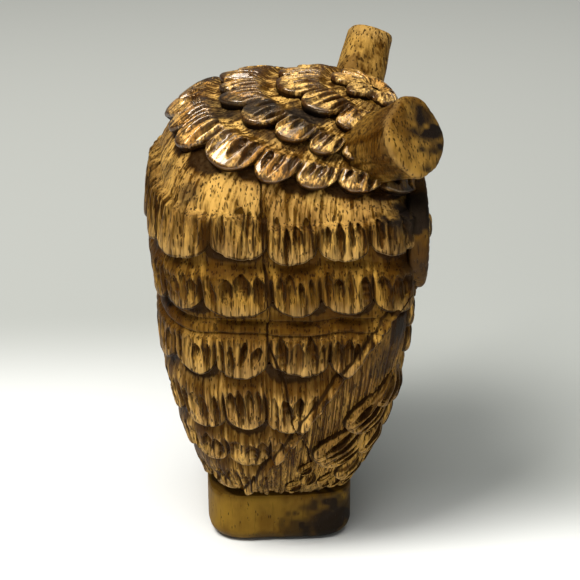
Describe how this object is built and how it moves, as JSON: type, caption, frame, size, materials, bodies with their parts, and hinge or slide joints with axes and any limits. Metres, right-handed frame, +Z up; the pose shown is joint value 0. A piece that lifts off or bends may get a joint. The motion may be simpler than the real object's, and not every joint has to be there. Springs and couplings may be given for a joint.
{
  "type": "owl figurine",
  "caption": "Free-standing carved wooden owl with layered feathers, flared ear tufts, round facial discs and a plain base block.",
  "frame": {"origin": "centre of the base block's flat underside", "axes": "+Z up from the base to the crown; the owl faces -Y, so its own left side is +X"},
  "size_m": [0.08, 0.0841, 0.15],
  "materials": {
    "carved_wood": "lacquered, stained dark in the cuts",
    "base_wood": "lacquered, scorched on one side",
    "dowel_wood": "raw",
    "eye_wood": "lacquered",
    "pupil_wood": "burnt and lacquered"
  },
  "bodies": {
    "root": {"body": "carved_wood", "base_block": "base_wood", "base_dowels": "dowel_wood", "ear_left": "carved_wood", "ear_right": "carved_wood", "ear_pegs": "dowel_wood", "face_disc_left": "carved_wood", "face_disc_right": "carved_wood", "eye_left": "eye_wood", "eye_right": "eye_wood", "pupil_left": "pupil_wood", "pupil_right": "pupil_wood", "beak": "carved_wood"}
  },
  "joints": []
}
